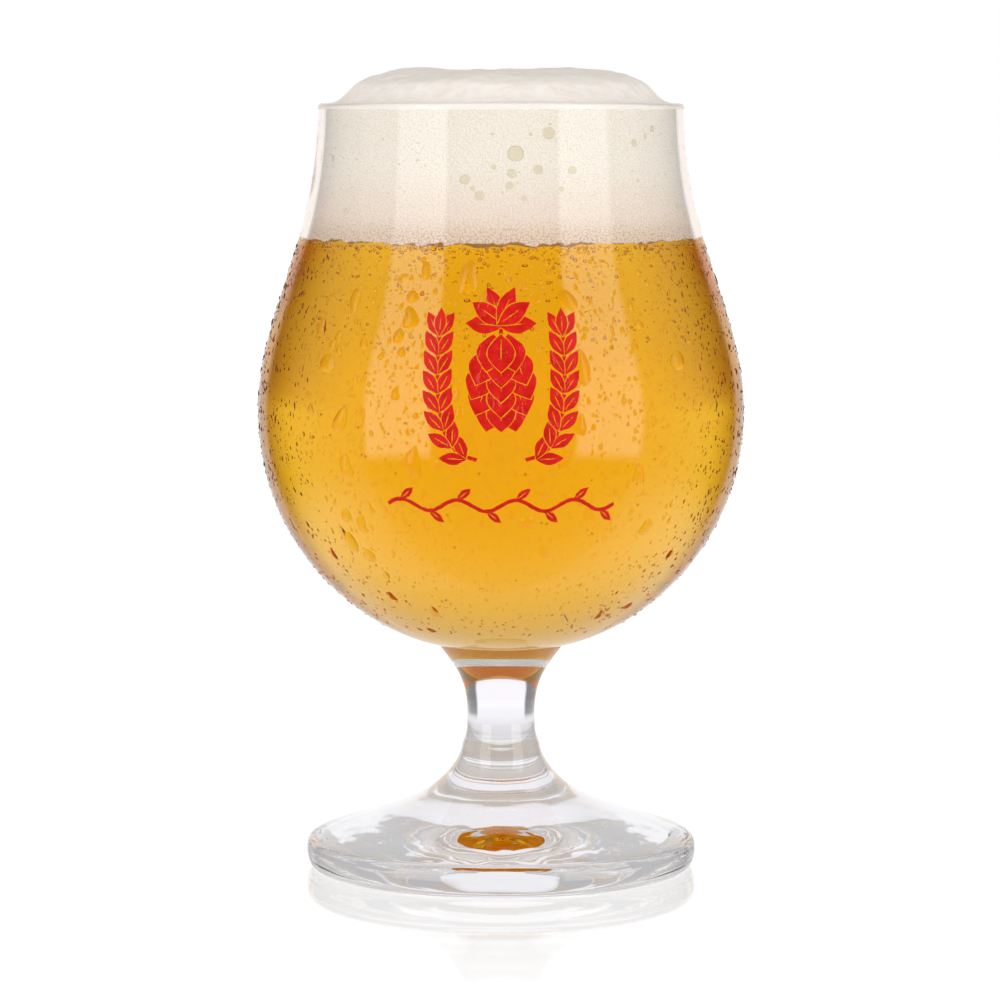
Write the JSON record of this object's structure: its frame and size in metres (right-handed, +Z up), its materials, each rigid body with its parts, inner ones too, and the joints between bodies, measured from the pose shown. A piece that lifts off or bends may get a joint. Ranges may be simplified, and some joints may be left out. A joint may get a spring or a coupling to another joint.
{
  "type": "tulip beer glass",
  "caption": "Stemmed tulip beer glass with a round belly and drawn-in neck, full of pale amber beer under a domed foam head, with a red printed emblem on the bowl.",
  "frame": {"origin": "centre of the ring that the foot stands on, in the plane of the table", "axes": "+Z up along the glass's own axis; the printed emblem faces -Y"},
  "size_m": [0.0896, 0.0901, 0.1479],
  "materials": {
    "glass": "clear, fire-polished, high gloss",
    "beer": "clear amber liquid",
    "foam": "fine dense foam",
    "print": "fired red enamel"
  },
  "bodies": {
    "root": {"bowl": "glass", "stem": "glass", "foot": "glass", "beer": "beer", "foam_head": "foam", "print_hop": "print", "print_barley_left": "print", "print_barley_right": "print", "print_vine": "print"}
  },
  "joints": []
}
